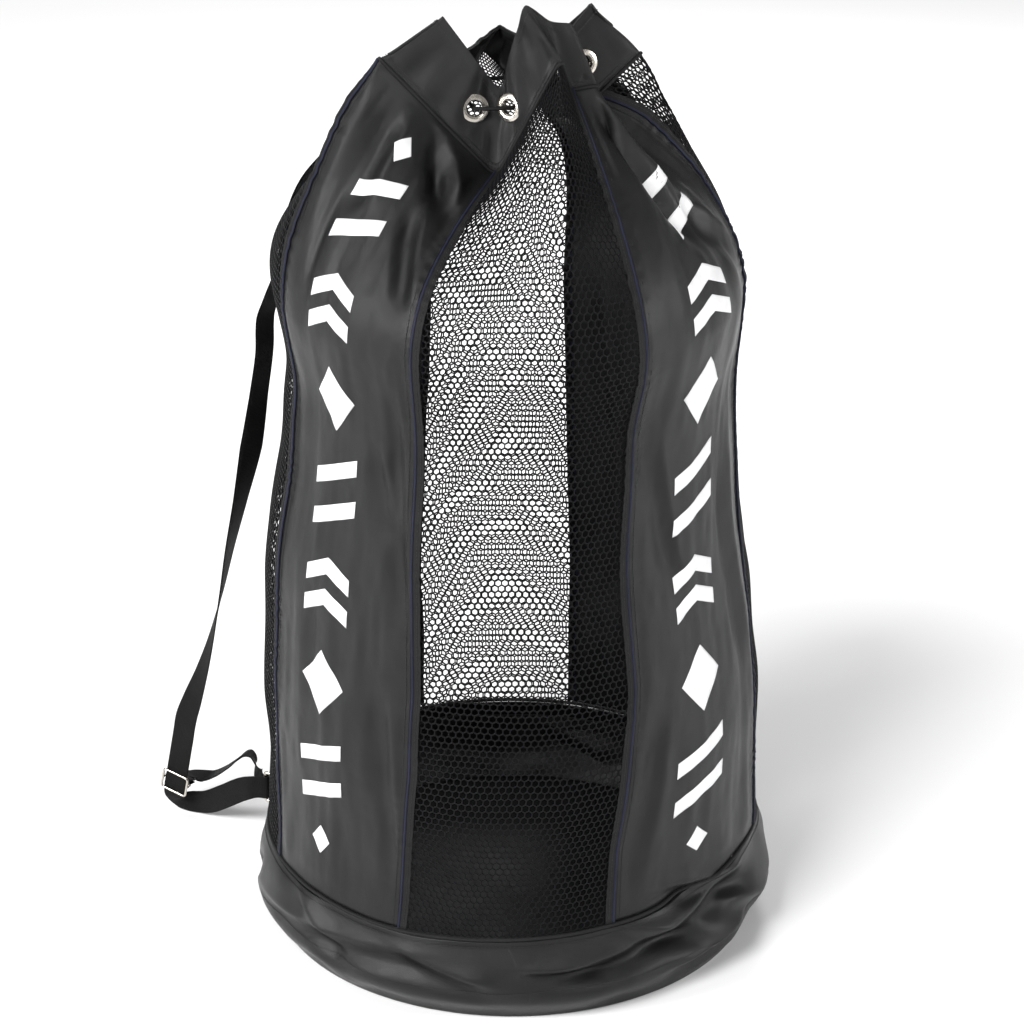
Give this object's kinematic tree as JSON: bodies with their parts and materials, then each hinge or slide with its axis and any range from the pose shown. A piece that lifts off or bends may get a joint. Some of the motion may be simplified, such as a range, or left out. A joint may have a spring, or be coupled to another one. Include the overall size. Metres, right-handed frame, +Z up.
{
  "type": "mesh ball bag",
  "caption": "Tall drawstring bag for balls, with black fabric panels, netting windows, a gathered collar with eyelets and cord lock, and a shoulder strap with a slide.",
  "frame": {"origin": "centre of the underside of the base", "axes": "+Z up the bag, -Y out of the front mesh window, +X to the right seen from the front"},
  "size_m": [0.607, 0.5064, 0.9421],
  "materials": {
    "black_fabric": "plain woven coated nylon, low sheen",
    "black_net": "hexagonal knitted netting",
    "navy_binding": "woven binding with a piped edge",
    "black_tape": "woven seam tape",
    "black_cord": "braided cord",
    "black_webbing": "ribbed polypropylene webbing",
    "black_plastic": "moulded, fine grain",
    "nickel": "nickel plate, slightly worn"
  },
  "bodies": {
    "root": {"base_panel": "black_fabric", "base_band": "black_fabric", "panel_front_right": "black_fabric", "panel_back_right": "black_fabric", "panel_back_left": "black_fabric", "panel_front_left": "black_fabric", "collar": "black_fabric", "mesh_front": "black_net", "mesh_right": "black_net", "mesh_back": "black_net", "mesh_left": "black_net", "binding_right_1": "navy_binding", "binding_left_1": "navy_binding", "binding_right_2": "navy_binding", "binding_left_2": "navy_binding", "binding_right_3": "navy_binding", "binding_left_3": "navy_binding", "binding_right_4": "navy_binding", "binding_left_4": "navy_binding", "base_piping": "black_tape", "base_seam_tape": "black_tape", "collar_hem_tape": "black_tape", "drawcord": "black_cord", "cord_end_1": "black_cord", "cord_end_2": "black_cord", "strap_upper_run": "black_webbing", "strap_ring_tab": "black_webbing", "eyelet_1": "nickel", "eyelet_2": "nickel", "eyelet_3": "nickel", "eyelet_4": "nickel", "eyelet_5": "nickel", "eyelet_6": "nickel", "eyelet_7": "nickel", "eyelet_8": "nickel", "eyelet_washer_1": "nickel", "eyelet_washer_2": "nickel", "eyelet_washer_3": "nickel", "eyelet_washer_4": "nickel", "eyelet_washer_5": "nickel", "eyelet_washer_6": "nickel", "eyelet_washer_7": "nickel", "eyelet_washer_8": "nickel"},
    "strap": {"shoulder_strap": "black_webbing", "strap_ring": "nickel"},
    "slide": {"strap_slide": "nickel", "strap_sewn_end": "black_webbing"},
    "cord_lock": {"cord_lock_body": "black_plastic", "cord_lock_spring": "nickel"},
    "plunger": {"cord_lock_plunger": "black_plastic"}
  },
  "joints": [
    {"name": "strap_swing", "type": "hinge", "parent": "root", "child": "strap", "pos_m": [-0.23133, 0.123, 0.3], "axis": [0, 0, 1], "range_deg": [-60, 50]},
    {"name": "slide_adjust", "type": "slide", "parent": "strap", "child": "slide", "axis": [0.1713, -0.0911, 0.981], "range_m": [0, 0.03]},
    {"name": "cord_lock_slide", "type": "slide", "parent": "root", "child": "cord_lock", "axis": [0.6947, 0.7193, 0], "range_m": [0, 0.02]},
    {"name": "plunger_press", "type": "slide", "parent": "cord_lock", "child": "plunger", "axis": [0, 0, -1], "range_m": [0, 0.003], "stiffness_N_per_m": 500, "springref_m": -0.003, "deforming": ["cord_lock_spring"]}
  ]
}
